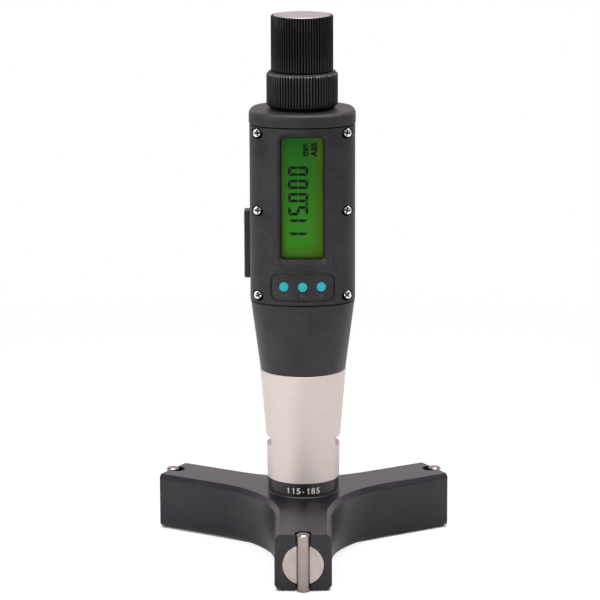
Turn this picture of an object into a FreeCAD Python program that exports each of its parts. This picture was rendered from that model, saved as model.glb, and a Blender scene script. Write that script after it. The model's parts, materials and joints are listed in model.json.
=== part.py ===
import FreeCAD, Part
import math
import os

# Digital three-point inside micrometer, standing on its measuring base.
# Millimetres. Z is the instrument axis, Z = 0 the underside of the three-armed body.
# One arm and the display face -Y.

# Measuring range
contact_diameter = 115.0
travel = 35.0

# Three-armed body
arm_height = 19.6
arm_half_width = 9.8
arm_chamfer = 1.5
arm_end_chamfer = 0.5
valley_radius = 42.0
spigot_radius = 9.5
spigot_height = 12.4
hub_radius = 9.0
arm_angles = (-90.0, 30.0, 150.0)

# Measuring bolts and contact pins
bolt_radius = 7.2
bolt_height = 8.8
bolt_inner_end = 8.0
bolt_headroom = 0.2
bolt_end_wall = 4.0
bolt_end_chamfer = 0.25
nut_length = 10.0
relief_radius = 4.0
pin_radius = 2.25
pin_chamfer = 0.5
pin_proud = 0.4
pin_groove_depth = 2.05
end_notch_radius = 2.95
end_notch_depth = 4.55
key_place = 45.5
key_radius = 1.5
key_dog_radius = 1.0
key_recess = 0.2
key_tip_gap = 0.3
keyway_depth = 1.2

# Bevel drive and lead screws
gear_teeth = 15
gear_pitch_radius = 4.5
gear_addendum = 0.45
gear_dedendum = 0.65
gear_face_share = 0.65
gear_tooth_share = 0.37
tooth_root_spread = 1.5
tooth_tip_spread = 0.55
gear_hub_radius = 3.3
gear_hub_length = 0.6
pinion_hub_height = 1.5
pinion_gap = 0.4
screw_radius = 3.0
screw_end_gap = 0.5
journal_radius = 1.5
carrier_radius = 7.7
carrier_pocket_radius = 5.4
thrust_gap = 0.1

# Base cover
cover_plate_radius = 13.0
cover_plate_thickness = 1.0
cover_spigot_height = 0.5
base_screw_circle = 11.2
base_screw_radius = 1.0
base_screw_length = 5.0
base_screw_head = 1.8

# Collar and sleeve
collar_height = 5.5
collar_radius = 12.55
collar_lip = 0.35
collar_lip_height = 0.6
sleeve_length = 39.4
sleeve_low_radius = 12.7
sleeve_waist_radius = 13.0
sleeve_top_radius = 15.15
sleeve_waist_height = 13.6
sleeve_bore_radius = 10.4
sleeve_rim_chamfer = 0.3
spanner_slot_low = 12.0
spanner_slot_height = 3.2
spanner_slot_reach = 11.4

# Housing
taper_length = 25.4
taper_low_radius = 15.0
taper_inset = 0.1
cover_length = 62.6
cap_height = 4.5
cap_wall = 3.0
cap_overhang = 0.2
top_round = 1.8
half_width = 18.4
half_depth = 16.6
side_curve = 40.0
front_curve = 27.5
corner_curve = 11.5
housing_wall = 2.2
neck_radius = 11.0
neck_length = 9.9
neck_web = 4.0
neck_wall = 2.0
neck_floor = 2.5
split_depth = 7.0
rib_inner = 13.0
rib_depth = 6.0
bush_boss_radius = 7.0
bush_boss_height = 3.3
seam = 0.15

# Front cover, display and buttons
cover_back_plane = 12.2
cover_end_wall = 2.0
window_half_width = 7.3
window_low = 16.6
window_height = 42.3
window_corner = 1.2
window_depth = 2.5
bezel_side = 2.8
bezel_top = 2.2
bezel_bottom = 4.1
window_flange = 0.6
window_boss = 0.6
window_thickness = 1.0
lcd_thickness = 1.0
backlight_thickness = 1.1
board_thickness = 1.4
board_gap = 0.3
button_panel_half_width = 11.15
button_panel_low = 1.9
button_panel_height = 9.6
button_panel_corner = 2.6
button_panel_depth = 0.5
button_height = 6.9
button_pitch = 6.45
button_radius = 1.65
button_flange_radius = 2.4
button_flange_thickness = 0.55
button_proud = 0.4
button_round = 0.35
button_travel = 0.5
keypad_thickness = 0.4
keypad_half_width = 9.6
keypad_nub_radius = 1.2

# Cover screws
cover_screw_x = 15.45
cover_screw_low_margin = 3.0
cover_screw_high_margin = 2.6
cover_screw_middle = 32.9
cover_screw_head_radius = 1.5
cover_screw_head_height = 1.2
cover_screw_head_round = 0.5
cover_screw_radius = 1.0
cover_screw_length = 7.0
cover_screw_seat = 9.5
cross_length = 1.7
cross_width = 0.4
cross_depth = 0.6

# Battery tray
tray_height_above_split = 5.65
tray_plate_height = 24.0
tray_plate_depth = 5.4
tray_plate_middle = 8.7
tray_plate_reach = 20.6
tray_plate_inner = 15.0
tray_height = 21.1
tray_depth = 4.4
tray_inner_end = 6.2
tray_gap = 0.2
tray_end_gap = 0.3
tray_plate_gap = 0.15
tray_plate_round = 0.6
cell_radius = 10.0
cell_thickness = 3.2
cell_centre = -4.5
cell_floor = 0.5
cell_chamfer = 0.3
bay_wall = 1.0
contact_strip_thickness = 0.3
contact_strip_width = 3.0
contact_strip_length = 10.0

# Shaft, tube, bushes and encoder
shaft_radius = 2.5
shaft_end_radius = 1.8
tube_radius = 4.7
tube_bore_radius = 3.2
tube_top_below_cap = 24.0
tube_flange_radius = 8.0
tube_flange_thickness = 1.5
lower_bush_radius = 4.4
lower_bush_length = 10.8
upper_bush_radius = 5.0
encoder_radius = 8.0
encoder_thickness = 1.2
encoder_gap = 0.3
encoder_hub_radius = 4.5
encoder_hub_height = 3.5

# Thimble and knob
thimble_gap = 0.4
thimble_radius = 12.4
thimble_length = 12.5
thimble_ridge_count = 72
thimble_low_chamfer = 1.2
thimble_high_chamfer = 0.9
thimble_top_plate = 2.4
thimble_hub_radius = 6.0
thimble_skirt = 2.0
ridge_depth = 0.35
knob_gap = 0.3
knob_radius = 10.8
knob_length = 19.1
knob_ridge_count = 68
knob_chamfer = 0.3
knob_floor = 3.0
knob_chamber_radius = 8.3
cap_radius = 10.0
cap_thickness = 1.5
cap_proud = 0.15
cap_round = 0.4
stem_radius = 4.0
stem_length = 8.5
clutch_plate_thickness = 1.0
clutch_plate_gap = 0.3
spring_gap = 0.3
spring_thickness = 0.5
spring_count = 4
stem_screw_radius = 1.25
stem_screw_head_radius = 5.4
stem_screw_head_height = 1.6
stem_screw_engagement = 3.7
stem_screw_slot_width = 1.0
stem_screw_slot_depth = 0.7

# Clearances
running = 0.05
fixed = 0.02
drop_in = 0.1

# Tolerance for picking edges, a reach past every solid for cutting, and an overlap for joining
near = 0.01
beyond = 60.0
fuse_overlap = 1.0

# Levels and places that follow from the sizes above
pin_centre = contact_diameter / 2 - pin_radius
arm_end = pin_centre - pin_radius + pin_groove_depth
notch_centre = arm_end - end_notch_depth + end_notch_radius
hub_ceiling = bolt_height + bolt_radius + running + bolt_headroom
spigot_top = arm_height + spigot_height
collar_top = arm_height + collar_height
sleeve_top = collar_top + sleeve_length
cover_low = sleeve_top + taper_length
cover_high = cover_low + cover_length
housing_top = cover_high + cap_height
thimble_low = housing_top + thimble_gap
thimble_top = thimble_low + thimble_length
knob_low = thimble_top + knob_gap
knob_top = knob_low + knob_length
stem_top = thimble_top + stem_length
shaft_top = thimble_top - thimble_top_plate
pinion_top = bolt_height + gear_pitch_radius + pinion_hub_height
lower_bush_low = pinion_top + pinion_gap
lower_bush_top = lower_bush_low + lower_bush_length
tube_top = cover_high - tube_top_below_cap
upper_bush_low = housing_top - cap_wall - bush_boss_height
window_plane = half_depth - window_depth
window_back = window_plane - window_boss
lcd_front = window_back - window_thickness
backlight_front = lcd_front - lcd_thickness
board_front = backlight_front - backlight_thickness
tray_low = cover_low + tray_height_above_split + (tray_plate_height - tray_height) / 2
tray_front = tray_plate_middle - tray_depth / 2
cell_height = tray_low + tray_height / 2


def cylinder(radius, low, high):
    return Part.makeCylinder(radius, high - low, FreeCAD.Vector(0, 0, low))


def tube(outer, inner, low, high):
    return cylinder(outer, low, high).cut(cylinder(inner, low, high))


def block(x_low, x_high, y_low, y_high, z_low, z_high):
    corner = FreeCAD.Vector(x_low, y_low, z_low)
    return Part.makeBox(x_high - x_low, y_high - y_low, z_high - z_low, corner)


def turned(profile):
    points = [FreeCAD.Vector(radius, 0, height) for radius, height in profile]
    face = Part.Face(Part.makePolygon(points + points[:1]))
    return face.revolve(FreeCAD.Vector(0, 0, 0), FreeCAD.Vector(0, 0, 1), 360)


def outward(radius, start, end):
    """Cylinder about the bolt axis, before it is turned to its arm."""
    place = FreeCAD.Vector(start, 0, bolt_height)
    return Part.makeCylinder(radius, end - start, place, FreeCAD.Vector(1, 0, 0))


def front_cylinder(radius, x, z, deep, shallow):
    """Cylinder along Y, given by how far its two ends lie in front of the axis."""
    place = FreeCAD.Vector(x, -shallow, z)
    return Part.makeCylinder(radius, shallow - deep, place, FreeCAD.Vector(0, 1, 0))


def on_arm(shape, angle):
    turned_shape = shape.copy()
    turned_shape.rotate(FreeCAD.Vector(0, 0, 0), FreeCAD.Vector(0, 0, 1), angle)
    return turned_shape


def save(name, shape):
    shape.exportStep("parts/" + name + ".step")


def star_outline():
    """Plan of the three arms, with a tangent arc in each valley."""
    meeting = arm_half_width / math.sin(math.radians(60))
    tangent_place = meeting / 2 + valley_radius / math.tan(math.radians(60))
    valley_nearest = meeting + valley_radius / math.sin(math.radians(60)) - valley_radius
    plan = [
        (tangent_place, -arm_half_width),
        (arm_end - arm_end_chamfer, -arm_half_width),
        (arm_end, arm_end_chamfer - arm_half_width),
        (arm_end, arm_half_width - arm_end_chamfer),
        (arm_end - arm_end_chamfer, arm_half_width),
        (tangent_place, arm_half_width),
    ]
    edges = []
    for angle in arm_angles:
        spin = FreeCAD.Rotation(FreeCAD.Vector(0, 0, 1), angle)
        points = [spin.multVec(FreeCAD.Vector(x, y, 0)) for x, y in plan]
        for start, end in zip(points, points[1:]):
            edges.append(Part.makeLine(start, end))
        toward_valley = FreeCAD.Rotation(FreeCAD.Vector(0, 0, 1), angle + 60)
        toward_next = FreeCAD.Rotation(FreeCAD.Vector(0, 0, 1), angle + 120)
        middle = toward_valley.multVec(FreeCAD.Vector(valley_nearest, 0, 0))
        end = toward_next.multVec(FreeCAD.Vector(tangent_place, -arm_half_width, 0))
        edges.append(Part.Arc(points[-1], middle, end).toShape())
    return Part.Wire(edges)


def is_side_edge(edge):
    """True for the long top and bottom edges, which are the chamfered ones."""
    level = edge.BoundBox.ZLength < near
    return level and edge.Length > 2 * arm_half_width


def arm_body():
    star = Part.Face(star_outline()).extrude(FreeCAD.Vector(0, 0, arm_height))
    star = star.makeChamfer(arm_chamfer, [edge for edge in star.Edges if is_side_edge(edge)])
    body = star.fuse(cylinder(spigot_radius, arm_height / 2, spigot_top))
    body = body.cut(cylinder(hub_radius, 0, hub_ceiling))
    body = body.cut(cylinder(cover_plate_radius + drop_in, 0, cover_plate_thickness))
    body = body.cut(cylinder(lower_bush_radius + fixed, hub_ceiling, lower_bush_top))
    body = body.cut(cylinder(tube_radius + running, lower_bush_top, spigot_top))
    notch = Part.makeCylinder(end_notch_radius, arm_height, FreeCAD.Vector(notch_centre, 0, 0))
    key_hole = Part.makeCylinder(key_radius + fixed, bolt_height, FreeCAD.Vector(key_place, 0, 0))
    bore = outward(bolt_radius + running, 0, arm_end)
    screw_hole = base_screw_solid(fixed)
    for angle in arm_angles:
        for tool in (bore, notch, key_hole):
            body = body.cut(on_arm(tool, angle))
        body = body.cut(on_arm(screw_hole, angle + 60))
    return body


def base_screw_solid(clearance):
    """Countersunk screw standing head down at the base screw circle."""
    shank = base_screw_radius + clearance
    head = base_screw_head + clearance
    cone = base_screw_head - base_screw_radius
    profile = [(0, 0), (head, 0), (shank, cone), (shank, base_screw_length), (0, base_screw_length)]
    screw = turned(profile)
    screw.translate(FreeCAD.Vector(base_screw_circle, 0, 0))
    return screw


def base_cover():
    plate = cylinder(cover_plate_radius, 0, cover_plate_thickness)
    spigot_top_level = cover_plate_thickness + cover_spigot_height
    plate = plate.fuse(cylinder(hub_radius - drop_in, 0, spigot_top_level))
    for angle in arm_angles:
        plate = plate.cut(on_arm(base_screw_solid(fixed), angle + 60))
    return plate


def base_cover_screws():
    screw = base_screw_solid(0)
    return Part.makeCompound([on_arm(screw, angle + 60) for angle in arm_angles])


def guide_keys():
    dog_top = bolt_height - bolt_radius + keyway_depth - key_tip_gap
    floor = bolt_height - bolt_radius - running
    profile = [
        (0, key_recess),
        (key_radius, key_recess),
        (key_radius, floor),
        (key_dog_radius, floor),
        (key_dog_radius, dog_top),
        (0, dog_top),
    ]
    key = turned(profile)
    key.translate(FreeCAD.Vector(key_place, 0, 0))
    return Part.makeCompound([on_arm(key, angle) for angle in arm_angles])


def pin_solid(clearance):
    low = -pin_proud
    high = arm_height + pin_proud
    radius = pin_radius + clearance
    profile = [
        (0, low),
        (radius - pin_chamfer, low),
        (radius, low + pin_chamfer),
        (radius, high - pin_chamfer),
        (radius - pin_chamfer, high),
        (0, high),
    ]
    pin = turned(profile)
    pin.translate(FreeCAD.Vector(pin_centre, 0, 0))
    return pin


def bolt_solid():
    chamfer = bolt_end_chamfer
    profile = [
        (0, bolt_inner_end),
        (bolt_radius - chamfer, bolt_inner_end),
        (bolt_radius, bolt_inner_end + chamfer),
        (bolt_radius, arm_end - chamfer),
        (bolt_radius - chamfer, arm_end),
        (0, arm_end),
    ]
    bolt = turned(profile)
    bolt.rotate(FreeCAD.Vector(0, 0, 0), FreeCAD.Vector(0, 1, 0), 90)
    bolt.translate(FreeCAD.Vector(0, 0, bolt_height))
    nut_bore = outward(screw_radius + running, bolt_inner_end, bolt_inner_end + nut_length)
    relief = outward(relief_radius, bolt_inner_end + nut_length, arm_end - bolt_end_wall)
    half_key = key_dog_radius + drop_in
    keyway_low = bolt_height - bolt_radius
    keyway = block(
        key_place - travel - 2 * key_dog_radius,
        key_place + 2 * key_dog_radius,
        -half_key,
        half_key,
        keyway_low,
        keyway_low + keyway_depth,
    )
    for tool in (nut_bore, relief, keyway, pin_solid(fixed)):
        bolt = bolt.cut(tool)
    return bolt


def lead_screw_solid():
    inner = gear_pitch_radius * gear_face_share
    shoulder = carrier_radius + thrust_gap
    screw_end = arm_end - bolt_end_wall - screw_end_gap
    return outward(journal_radius, inner, shoulder).fuse(outward(screw_radius, shoulder, screw_end))


def tooth_ring(share, phase):
    """Gear outline on the plane that lies at this share of the pitch cone."""
    pitch_angle = 2 * math.pi / gear_teeth
    root = gear_pitch_radius - gear_dedendum
    tip = gear_pitch_radius + gear_addendum
    half_pitch_tooth = pitch_angle * gear_tooth_share / 2
    flank = (
        (root, -tooth_root_spread * half_pitch_tooth),
        (tip, -tooth_tip_spread * half_pitch_tooth),
        (tip, tooth_tip_spread * half_pitch_tooth),
        (root, tooth_root_spread * half_pitch_tooth),
    )
    points = []
    for tooth in range(gear_teeth):
        centre = tooth * pitch_angle + phase
        for radius, offset in flank:
            place = radius * share
            x = place * math.cos(centre + offset)
            y = place * math.sin(centre + offset)
            points.append(FreeCAD.Vector(x, y, gear_pitch_radius * share))
    return Part.makePolygon(points + points[:1])


def bevel_teeth(phase):
    """Straight bevel teeth about Z, with the cone's point at the origin."""
    return Part.makeLoft([tooth_ring(gear_face_share, phase), tooth_ring(1, phase)], True, True)


def bevel_pinion():
    pinion = bevel_teeth(0)
    hub_top = gear_pitch_radius + pinion_hub_height
    pinion = pinion.fuse(cylinder(gear_hub_radius, gear_pitch_radius, hub_top))
    pinion = pinion.cut(cylinder(shaft_end_radius + fixed, 0, hub_top))
    pinion.rotate(FreeCAD.Vector(0, 0, 0), FreeCAD.Vector(0, 0, 1), arm_angles[0])
    pinion.translate(FreeCAD.Vector(0, 0, bolt_height))
    return pinion


def bevel_gear_solid():
    """Gear on the lead screw, along X, with a tooth gap upward under the pinion's tooth."""
    hub_end = gear_pitch_radius + gear_hub_length
    gear = bevel_teeth(math.pi + math.pi / gear_teeth)
    gear = gear.fuse(cylinder(gear_hub_radius, gear_pitch_radius, hub_end))
    gear = gear.cut(cylinder(journal_radius + fixed, 0, hub_end))
    gear.rotate(FreeCAD.Vector(0, 0, 0), FreeCAD.Vector(0, 1, 0), 90)
    gear.translate(FreeCAD.Vector(0, 0, bolt_height))
    return gear


def gear_carrier():
    low = cover_plate_thickness + cover_spigot_height
    carrier = cylinder(carrier_radius, low, hub_ceiling)
    carrier = carrier.cut(cylinder(carrier_pocket_radius, bolt_height, hub_ceiling))
    pocket_end = gear_pitch_radius + gear_hub_length + thrust_gap
    pocket = outward(carrier_pocket_radius, 0, pocket_end)
    journal = outward(journal_radius + running, 0, carrier_radius)
    for angle in arm_angles:
        carrier = carrier.cut(on_arm(pocket, angle))
        carrier = carrier.cut(on_arm(journal, angle))
    return carrier


def range_collar():
    inner = spigot_radius + fixed
    return turned([
        (inner, arm_height),
        (collar_radius + collar_lip, arm_height),
        (collar_radius + collar_lip, arm_height + collar_lip_height - collar_lip),
        (collar_radius, arm_height + collar_lip_height),
        (collar_radius, collar_top),
        (inner, collar_top),
    ])


def head_sleeve():
    outside = [
        (sleeve_low_radius, collar_top),
        (sleeve_waist_radius, collar_top + sleeve_waist_height),
        (sleeve_top_radius, sleeve_top - sleeve_rim_chamfer),
        (sleeve_top_radius - sleeve_rim_chamfer, sleeve_top),
    ]
    inside = [
        (neck_radius + fixed, sleeve_top),
        (neck_radius + fixed, sleeve_top - neck_length),
        (sleeve_bore_radius, sleeve_top - neck_length),
        (sleeve_bore_radius, spigot_top),
        (spigot_radius + fixed, spigot_top),
        (spigot_radius + fixed, collar_top),
    ]
    sleeve = turned(outside + inside)
    slot_low = collar_top + spanner_slot_low
    slot_high = slot_low + spanner_slot_height
    for side in (-1, 1):
        left, right = sorted((side * spanner_slot_reach, side * beyond))
        sleeve = sleeve.cut(block(left, right, -half_depth, half_depth, slot_low, slot_high))
    return sleeve


def corner_centre():
    """Centre of the corner arc that is tangent to the side arc and the front arc."""
    side_x = half_width - side_curve
    front_y = front_curve - half_depth
    side_reach = side_curve - corner_curve
    front_reach = front_curve - corner_curve
    span = math.hypot(side_x, front_y)
    along = (span ** 2 + side_reach ** 2 - front_reach ** 2) / (2 * span)
    across = math.sqrt(side_reach ** 2 - along ** 2)
    unit_x = -side_x / span
    unit_y = front_y / span
    return side_x + along * unit_x + across * unit_y, along * unit_y - across * unit_x


def quarter_points(inset):
    """End of the side arc, middle of the corner arc and end of the front arc, for +X -Y."""
    corner_x, corner_y = corner_centre()
    side_x = half_width - side_curve
    front_y = front_curve - half_depth
    side_angle = math.atan2(corner_y, corner_x - side_x)
    front_angle = math.atan2(corner_y - front_y, corner_x)
    middle_angle = (side_angle + front_angle) / 2
    side_radius = side_curve - inset
    corner_radius = corner_curve - inset
    front_radius = front_curve - inset
    side_end = (side_x + side_radius * math.cos(side_angle), side_radius * math.sin(side_angle))
    corner_middle = (
        corner_x + corner_radius * math.cos(middle_angle),
        corner_y + corner_radius * math.sin(middle_angle),
    )
    front_end = (
        front_radius * math.cos(front_angle),
        front_y + front_radius * math.sin(front_angle),
    )
    return side_end, corner_middle, front_end


def ring_of_arcs(quarter, side_reach, front_reach, level):
    """Closed outline of eight arcs from one quarter's points, mirrored to all four."""
    side_end, corner_middle, front_end = quarter
    points = [(side_reach, 0)]
    for x_sign, y_sign, order in ((1, 1, 1), (-1, 1, -1), (-1, -1, 1), (1, -1, -1)):
        corner = [(x_sign * abs(x), y_sign * abs(y)) for x, y in (side_end, corner_middle, front_end)]
        points += corner[::order]
        last_is_front = order == 1
        middle_x = 0 if last_is_front else x_sign * side_reach
        middle_y = y_sign * front_reach if last_is_front else 0
        points.append((middle_x, middle_y))
    points = points[:-1]
    points = [FreeCAD.Vector(x, y, level) for x, y in points]
    edges = []
    for index in range(1, len(points), 2):
        start = points[index]
        middle = points[(index + 1) % len(points)]
        end = points[(index + 2) % len(points)]
        edges.append(Part.Arc(start, middle, end).toShape())
    return Part.Wire(edges)


def housing_outline(inset, level):
    return ring_of_arcs(quarter_points(inset), half_width - inset, half_depth - inset, level)


def round_outline(radius, level):
    """Circle cut at the same bearings as the housing's outline, for a clean loft."""
    quarter = []
    for x, y in quarter_points(0):
        reach = math.hypot(x, y)
        quarter.append((x * radius / reach, y * radius / reach))
    return ring_of_arcs(quarter, radius, radius, level)


def housing_prism(inset, low, high):
    face = Part.Face(housing_outline(inset, low))
    return face.extrude(FreeCAD.Vector(0, 0, high - low))


def taper(inset):
    low = round_outline(taper_low_radius - inset, sleeve_top)
    high = housing_outline(taper_inset + inset, cover_low)
    return Part.makeLoft([low, high], True, True)


def housing_body():
    """Prism under a cap that stands a little proud of it all round, with a rounded top edge."""
    cap = housing_prism(-cap_overhang, cover_high, housing_top)
    rim = [edge for edge in cap.Edges if abs(edge.CenterOfMass.z - housing_top) < near]
    return housing_prism(0, cover_low, cover_high).fuse(cap.makeFillet(top_round, rim))


def rear_housing():
    outside = housing_body()
    neck_low = sleeve_top - neck_length
    cavity_top = housing_top - cap_wall
    shell = outside.fuse(taper(0)).fuse(cylinder(neck_radius, neck_low, sleeve_top + fuse_overlap))
    shell = shell.cut(housing_prism(housing_wall, cover_low, cavity_top))
    floor_top = sleeve_top + neck_floor
    shell = shell.cut(taper(housing_wall).cut(cylinder(taper_low_radius, sleeve_top, floor_top)))
    shell = shell.cut(cylinder(neck_radius - neck_wall, neck_low + neck_web, floor_top))
    shell = shell.cut(cylinder(tube_radius + running, neck_low, sleeve_top))
    for side in (-1, 1):
        left, right = sorted((side * rib_inner, side * half_width))
        rib = block(left, right, -split_depth, rib_depth - split_depth, cover_low, cover_high)
        shell = shell.fuse(rib.common(outside))
    shell = shell.fuse(cylinder(bush_boss_radius, upper_bush_low, cavity_top + fuse_overlap))
    shell = shell.cut(cylinder(upper_bush_radius + fixed, upper_bush_low, housing_top))
    shell = shell.fuse(battery_bay().common(outside))
    shell = shell.cut(block(-beyond, beyond, -beyond, -split_depth, cover_low, cover_high))
    for tool in (bay_slot(), plate_recess(), contact_pockets()):
        shell = shell.cut(tool)
    for x, z in cover_screw_places():
        thread_end = cover_screw_seat - cover_screw_length
        shell = shell.cut(front_cylinder(cover_screw_radius + fixed, x, z, thread_end, half_depth))
    return shell.removeSplitter()


def battery_bay():
    slot_end = tray_inner_end + tray_end_gap
    return block(
        -half_width,
        slot_end + bay_wall,
        tray_front - tray_gap - bay_wall,
        half_depth,
        tray_low - tray_gap - bay_wall,
        tray_low + tray_height + tray_gap + bay_wall,
    )


def bay_slot():
    return block(
        -half_width,
        tray_inner_end + tray_end_gap,
        tray_front - tray_gap,
        tray_front + tray_depth + tray_gap,
        tray_low - tray_gap,
        tray_low + tray_height + tray_gap,
    )


def plate_block(clearance):
    low = cover_low + tray_height_above_split
    return block(
        -tray_plate_reach,
        -tray_plate_inner + clearance,
        tray_plate_middle - tray_plate_depth / 2 - clearance,
        tray_plate_middle + tray_plate_depth / 2 + clearance,
        low - clearance,
        low + tray_plate_height + clearance,
    )


def plate_recess():
    return plate_block(tray_plate_gap)


def cell_solid(radius, front, back):
    place = FreeCAD.Vector(cell_centre, front, cell_height)
    return Part.makeCylinder(radius, back - front, place, FreeCAD.Vector(0, 1, 0))


def battery_tray():
    plate = plate_block(0)
    edges = [edge for edge in plate.Edges if edge.CenterOfMass.x < near - tray_plate_reach]
    plate = plate.makeFillet(tray_plate_round, edges)
    back = tray_front + tray_depth
    drawer = block(-tray_plate_inner, tray_inner_end, tray_front, back, tray_low, tray_low + tray_height)
    tray = plate.fuse(drawer)
    return tray.cut(cell_solid(cell_radius + drop_in, tray_front + cell_floor, back))


def coin_cell():
    front = tray_front + cell_floor
    cell = cell_solid(cell_radius, front, front + cell_thickness)
    return cell.makeChamfer(cell_chamfer, cell.Edges[:1])


def contact_strip_boxes():
    """One strip in the bay's front wall and one in its inner end, flush with the slot."""
    half = contact_strip_width / 2
    length = contact_strip_length / 2
    slot_front = tray_front - tray_gap
    slot_end = tray_inner_end + tray_end_gap
    front = block(
        cell_centre - half,
        cell_centre + half,
        slot_front - contact_strip_thickness,
        slot_front,
        cell_height - length,
        cell_height + length,
    )
    end = block(
        slot_end,
        slot_end + contact_strip_thickness,
        tray_plate_middle - half / 2,
        tray_plate_middle + half / 2,
        cell_height - length,
        cell_height + length,
    )
    return [front, end]


def contact_pockets():
    return Part.makeCompound(contact_strip_boxes())


def battery_contacts():
    return Part.makeCompound(contact_strip_boxes())


def cover_screw_places():
    heights = (
        cover_low + cover_screw_low_margin,
        cover_low + cover_screw_middle,
        cover_high - cover_screw_high_margin,
    )
    return [(side * cover_screw_x, z) for side in (-1, 1) for z in heights]


def cover_screw(x, z):
    head_front = cover_screw_seat + cover_screw_head_height
    shank_end = cover_screw_seat - cover_screw_length
    shank = front_cylinder(cover_screw_radius, x, z, shank_end, cover_screw_seat)
    head = front_cylinder(cover_screw_head_radius, x, z, cover_screw_seat, head_front)
    head_edges = [edge for edge in head.Edges if edge.CenterOfMass.y < near - head_front]
    head = head.makeFillet(cover_screw_head_round, head_edges)
    half = cross_length / 2
    thin = cross_width / 2
    cross_floor = head_front - cross_depth
    wide = block(x - half, x + half, -head_front, -cross_floor, z - thin, z + thin)
    tall = block(x - thin, x + thin, -head_front, -cross_floor, z - half, z + half)
    return head.cut(wide).cut(tall).fuse(shank)


def cover_screws():
    return Part.makeCompound([cover_screw(x, z) for x, z in cover_screw_places()])


def rounded_panel(half, low, high, corner, plane):
    """Upright rounded rectangle at a given distance in front of the axis."""
    left = -half
    right = half
    swing = corner * (1 - math.sqrt(0.5))
    corners = (
        ((right - corner, low), (right - swing, low + swing), (right, low + corner)),
        ((right, high - corner), (right - swing, high - swing), (right - corner, high)),
        ((left + corner, high), (left + swing, high - swing), (left, high - corner)),
        ((left, low + corner), (left + swing, low + swing), (left + corner, low)),
    )
    edges = []
    for index, corner_points in enumerate(corners):
        start, middle, end = [FreeCAD.Vector(x, -plane, z) for x, z in corner_points]
        edges.append(Part.Arc(start, middle, end).toShape())
        following = corners[(index + 1) % len(corners)][0]
        edges.append(Part.makeLine(end, FreeCAD.Vector(following[0], -plane, following[1])))
    return Part.Wire(edges)


def panel_solid(half, low, high, corner, deep, shallow):
    face = Part.Face(rounded_panel(half, low, high, corner, deep))
    return face.extrude(FreeCAD.Vector(0, deep - shallow, 0))


def window_limits(margin):
    low = cover_low + window_low - margin
    return window_half_width + margin, low, low + window_height + 2 * margin


def bezel_cut():
    """Sloped frame of the display, from the window out past the curved front."""
    stretch = 1.2
    half, low, high = window_limits(0)
    inner = rounded_panel(half, low, high, window_corner, window_plane)
    outer = rounded_panel(
        half + stretch * bezel_side,
        low - stretch * bezel_bottom,
        high + stretch * bezel_top,
        window_corner + stretch * bezel_side / 2,
        window_plane + stretch * window_depth,
    )
    return Part.makeLoft([inner, outer], True, True)


def button_places():
    """X of each button and how far the panel's floor there lies in front of the axis."""
    places = []
    for step in (-1, 0, 1):
        x = step * button_pitch
        floor = math.sqrt(front_curve ** 2 - x ** 2) - front_curve + half_depth - button_panel_depth
        places.append((x, floor))
    return places


def front_cover():
    low = cover_low + seam
    high = cover_high - seam
    cover = housing_prism(0, low, high)
    cover = cover.cut(block(-beyond, beyond, -split_depth, beyond, low, high))
    pocket_half = rib_inner - drop_in
    pocket_low = low + cover_end_wall
    pocket_high = high - cover_end_wall
    cover = cover.cut(block(-pocket_half, pocket_half, -cover_back_plane, 0, pocket_low, pocket_high))
    half, window_bottom, window_top = window_limits(0)
    opening = panel_solid(half, window_bottom, window_top, window_corner, 0, half_depth)
    seat_half, seat_low, seat_high = window_limits(window_flange + drop_in)
    seat = panel_solid(seat_half, seat_low, seat_high, window_corner, 0, window_back)
    panel_low = cover_low + button_panel_low
    panel = panel_solid(
        button_panel_half_width,
        panel_low,
        panel_low + button_panel_height,
        button_panel_corner,
        0,
        half_depth,
    )
    panel = panel.cut(housing_prism(button_panel_depth, low, high))
    for tool in (opening, seat, bezel_cut(), panel):
        cover = cover.cut(tool)
    button_level = cover_low + button_height
    for x, floor in button_places():
        cover = cover.cut(front_cylinder(button_radius + drop_in, x, button_level, 0, half_depth))
    for x, z in cover_screw_places():
        cover = cover.cut(front_cylinder(cover_screw_radius + 2 * drop_in, x, z, 0, half_depth))
        cover = cover.cut(
            front_cylinder(cover_screw_head_radius + 2 * drop_in, x, z, cover_screw_seat, half_depth)
        )
    return cover


def display_window():
    boss = panel_solid(*window_limits(-running), window_corner, window_back, window_plane)
    flange = panel_solid(*window_limits(window_flange), window_corner, lcd_front, window_back)
    return boss.fuse(flange)


def lcd_panel():
    return panel_solid(*window_limits(window_flange), window_corner, backlight_front, lcd_front)


def backlight_panel():
    return panel_solid(*window_limits(window_flange), window_corner, board_front, backlight_front)


def circuit_board():
    half = rib_inner - board_gap
    low = cover_low + seam + cover_end_wall + board_gap
    high = cover_high - seam - cover_end_wall - board_gap
    return block(-half, half, -board_front, board_thickness - board_front, low, high)


def keypad_mat():
    low = cover_low + seam + cover_end_wall + board_gap
    height = cover_low + button_height
    top = 2 * height - low
    front = board_front + keypad_thickness
    mat = block(-keypad_half_width, keypad_half_width, -front, -board_front, low, top)
    nub_front = cover_back_plane - running - button_flange_thickness - button_travel - running
    for x, floor in button_places():
        mat = mat.fuse(front_cylinder(keypad_nub_radius, x, height, board_front, nub_front))
    return mat


def push_button(x, floor):
    height = cover_low + button_height
    flange_front = cover_back_plane - running
    flange_back = flange_front - button_flange_thickness
    stem = front_cylinder(button_radius, x, height, flange_back, floor + button_proud)
    face_edges = [edge for edge in stem.Edges if edge.CenterOfMass.y < near - floor - button_proud]
    stem = stem.makeFillet(button_round, face_edges)
    return stem.fuse(front_cylinder(button_flange_radius, x, height, flange_back, flange_front))


def shaft_tube():
    stem = tube(tube_radius, tube_bore_radius, lower_bush_top, tube_top)
    flange = tube(tube_flange_radius, tube_bore_radius, tube_top - tube_flange_thickness, tube_top)
    return stem.fuse(flange)


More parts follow.
